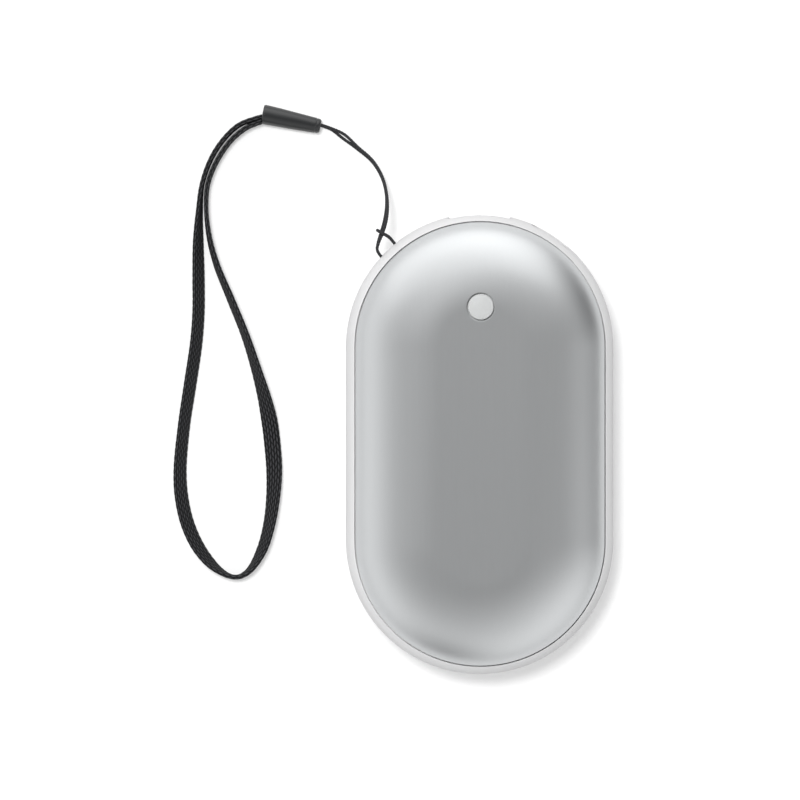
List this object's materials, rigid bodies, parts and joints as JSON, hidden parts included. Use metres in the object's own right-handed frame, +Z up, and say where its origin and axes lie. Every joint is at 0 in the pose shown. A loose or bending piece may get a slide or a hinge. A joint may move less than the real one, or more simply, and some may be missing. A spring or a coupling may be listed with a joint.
{
  "type": "rechargeable hand warmer",
  "caption": "Pill-shaped pocket hand warmer with domed aluminium shells in a plastic rim, a top power button, charging sockets and a hitched wrist strap.",
  "frame": {"origin": "on the surface it lies on, under the centre of the body, measured without the strap", "axes": "+Y along the body towards the button and sockets, +Z up out of the front shell, +X to the right seen from the front"},
  "size_m": [0.0993, 0.1285, 0.0273],
  "materials": {
    "satin_aluminium": "fine satin brushed",
    "pale_plastic": "smooth, slightly matt",
    "clear_white": "translucent white",
    "grey_plastic": "moulded",
    "black_plastic": "moulded",
    "bright_steel": "bright plated",
    "cell_wrap": "shrink wrap",
    "film_amber": "smooth film",
    "foam_grey": "matt",
    "board_green": "solder mask",
    "red_lead": "smooth insulation",
    "black_lead": "smooth insulation",
    "black_cord": "woven",
    "black_sleeve": "soft satin"
  },
  "bodies": {
    "body": {"front_shell": "satin_aluminium", "rear_shell": "satin_aluminium", "middle_frame": "pale_plastic", "front_carrier": "grey_plastic", "rear_carrier": "grey_plastic", "front_heater_film": "film_amber", "rear_heater_film": "film_amber", "front_foam_pad": "foam_grey", "rear_foam_pad": "foam_grey", "thermistor_front": "black_plastic", "thermistor_rear": "black_plastic", "battery_cell_left": "cell_wrap", "battery_cell_right": "cell_wrap", "nickel_strip_positive": "bright_steel", "nickel_strip_negative": "bright_steel", "inner_chassis": "grey_plastic", "chassis_screw_1": "bright_steel", "chassis_screw_2": "bright_steel", "chassis_screw_3": "bright_steel", "chassis_screw_4": "bright_steel", "board_screw_1": "bright_steel", "board_screw_2": "bright_steel", "main_board": "board_green", "switch_body": "black_plastic", "button_led_left": "clear_white", "button_led_right": "clear_white", "boost_inductor": "foam_grey", "control_chip": "black_plastic", "heater_mosfet": "black_plastic", "filter_capacitor": "bright_steel", "button_guide": "black_plastic", "usb_a_shell": "bright_steel", "usb_a_tongue": "black_plastic", "usb_c_shell": "bright_steel", "usb_c_tongue": "black_plastic", "battery_lead_positive": "red_lead", "battery_lead_negative": "black_lead", "heater_lead_front": "red_lead", "heater_lead_rear": "red_lead", "lanyard_string": "black_cord", "lanyard_ferrule": "black_sleeve", "wrist_band": "black_cord"},
    "button": {"button_cap": "clear_white"},
    "plunger": {"switch_plunger": "grey_plastic"}
  },
  "joints": [
    {"name": "button_press", "type": "slide", "parent": "body", "child": "button", "axis": [0, 0, -1], "range_m": [0, 0.00035], "stiffness_N_per_m": 400},
    {"name": "switch_press", "type": "slide", "parent": "body", "child": "plunger", "axis": [0, 0, -1], "range_m": [0, 0.00035]}
  ],
  "couplings": [
    {"joint": "switch_press", "follows": "button_press", "ratio": 1}
  ]
}
